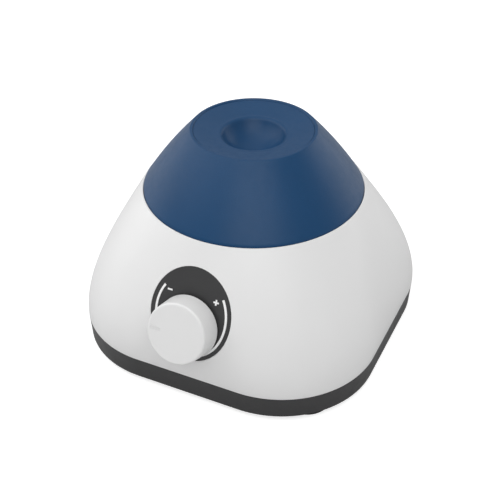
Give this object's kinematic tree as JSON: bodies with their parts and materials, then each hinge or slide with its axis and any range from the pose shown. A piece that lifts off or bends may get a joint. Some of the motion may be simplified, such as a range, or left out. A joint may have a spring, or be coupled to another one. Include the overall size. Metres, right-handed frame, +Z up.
{
  "type": "vortex mixer",
  "caption": "Small touch-start vortex mixer: a rounded-square white housing with a speed dial, and a soft blue boot with a cup that orbits to shake a tube.",
  "frame": {"origin": "where the motor axis meets the bench that the feet stand on", "axes": "+Z up along the motor axis, -Y towards the speed dial, +X to the right of someone facing the dial"},
  "size_m": [0.1002, 0.1081, 0.0706],
  "materials": {
    "tray_plastic": "fine matt grain",
    "shell_plastic": "satin white",
    "steel": "zinc plated plate",
    "foot_rubber": "matt",
    "screw_steel": "zinc plated",
    "dial_plastic": "fine matt",
    "mark_white": "printed white",
    "pot_metal": "plated",
    "nut_steel": "nickel plated",
    "black_plastic": "moulded",
    "brass": "turned",
    "board_green": "solder mask",
    "connector_white": "moulded nylon",
    "capacitor_sleeve": "printed sleeve",
    "ground_steel": "ground and polished",
    "spring_steel": "drawn wire",
    "plunger_red": "moulded",
    "lead_red": "flexible insulation",
    "lead_black": "flexible insulation",
    "lead_grey": "flexible sheath",
    "knob_plastic": "satin white",
    "index_grey": "moulded line",
    "frame_plastic": "moulded",
    "motor_steel": "plated can",
    "magnet_dark": "ferrite",
    "copper": "enamelled copper",
    "aluminium": "turned",
    "cage_nylon": "moulded nylon",
    "boot_silicone": "matt silicone"
  },
  "bodies": {
    "housing": {"base_tray": "tray_plastic", "upper_shell": "shell_plastic", "ballast_plate": "steel", "rubber_feet": "foot_rubber", "case_screws": "screw_steel", "dial_plate": "dial_plastic", "dial_marks": "mark_white", "potentiometer_body": "pot_metal", "potentiometer_nut": "nut_steel", "dc_jack_housing": "black_plastic", "dc_jack_contacts": "brass", "dc_jack_nut": "nut_steel", "control_board": "board_green", "board_screws": "screw_steel", "board_connectors": "connector_white", "drive_transistor": "black_plastic", "smoothing_capacitor": "capacitor_sleeve", "driver_chip": "black_plastic", "guide_posts": "ground_steel", "post_washers": "screw_steel", "post_screws": "screw_steel", "press_springs": "spring_steel", "switch_body": "black_plastic", "switch_pin": "ground_steel", "power_lead_red": "lead_red", "power_lead_black": "lead_black", "motor_lead_red": "lead_red", "motor_lead_black": "lead_black", "speed_cable": "lead_grey", "switch_cable": "lead_grey"},
    "knob": {"speed_knob": "knob_plastic", "knob_index": "index_grey", "potentiometer_shaft": "ground_steel"},
    "carriage": {"head_frame": "frame_plastic", "guide_bushes": "brass", "motor_can": "motor_steel", "motor_end_cap": "black_plastic", "motor_bush": "brass", "motor_magnets": "magnet_dark", "motor_brushes": "copper", "motor_terminals": "brass", "motor_screws": "screw_steel", "boot_skirt": "boot_silicone", "boot_clamp_ring": "spring_steel"},
    "rotor": {"motor_shaft": "ground_steel", "motor_armature": "motor_steel", "motor_windings": "copper", "motor_commutator": "copper", "eccentric_hub": "aluminium", "counterweight": "brass", "hub_set_screw": "screw_steel", "bearing_inner_ring": "ground_steel", "bearing_screw": "screw_steel"},
    "ball_set": {"bearing_balls": "ground_steel", "bearing_cage": "cage_nylon"},
    "cup_head": {"bearing_outer_ring": "ground_steel", "cup_holder": "frame_plastic", "cup_pad": "boot_silicone"},
    "lever": {"switch_lever": "spring_steel"},
    "plunger": {"switch_plunger": "plunger_red"}
  },
  "joints": [
    {"name": "knob_turn", "type": "hinge", "parent": "housing", "child": "knob", "pos_m": [0.0002, -0.04696, 0.0276], "axis": [0, -0.9438, 0.3305], "range_deg": [-240, 60]},
    {"name": "press", "type": "slide", "parent": "housing", "child": "carriage", "axis": [0, 0, 1], "range_m": [-0.001, 0], "stiffness_N_per_m": 2500, "springref_m": 0.0014, "deforming": ["press_springs", "motor_lead_red", "motor_lead_black"]},
    {"name": "motor_spin", "type": "hinge", "parent": "carriage", "child": "rotor", "pos_m": [0, 0, 0], "axis": [0, 0, 1], "continuous": true, "deforming": ["boot_skirt"]},
    {"name": "cup_turn", "type": "hinge", "parent": "rotor", "child": "cup_head", "pos_m": [-0.00085, 0.00181, 0], "axis": [0, 0, 1], "continuous": true},
    {"name": "ball_roll", "type": "hinge", "parent": "rotor", "child": "ball_set", "pos_m": [-0.00085, 0.00181, 0], "axis": [0, 0, 1], "continuous": true},
    {"name": "lever_swing", "type": "hinge", "parent": "housing", "child": "lever", "pos_m": [0.024, 0.009, 0.0294], "axis": [1, 0, 0], "range_deg": [-5.8, 0.1]},
    {"name": "plunger_slide", "type": "slide", "parent": "housing", "child": "plunger", "axis": [0, 0, 1], "range_m": [-0.00031, 0.00001]}
  ],
  "couplings": [
    {"joint": "cup_turn", "follows": "motor_spin", "ratio": -1},
    {"joint": "ball_roll", "follows": "motor_spin", "ratio": -0.62069},
    {"joint": "lever_swing", "follows": "press", "rad_per_m": 100},
    {"joint": "plunger_slide", "follows": "press", "ratio": 0.3}
  ]
}
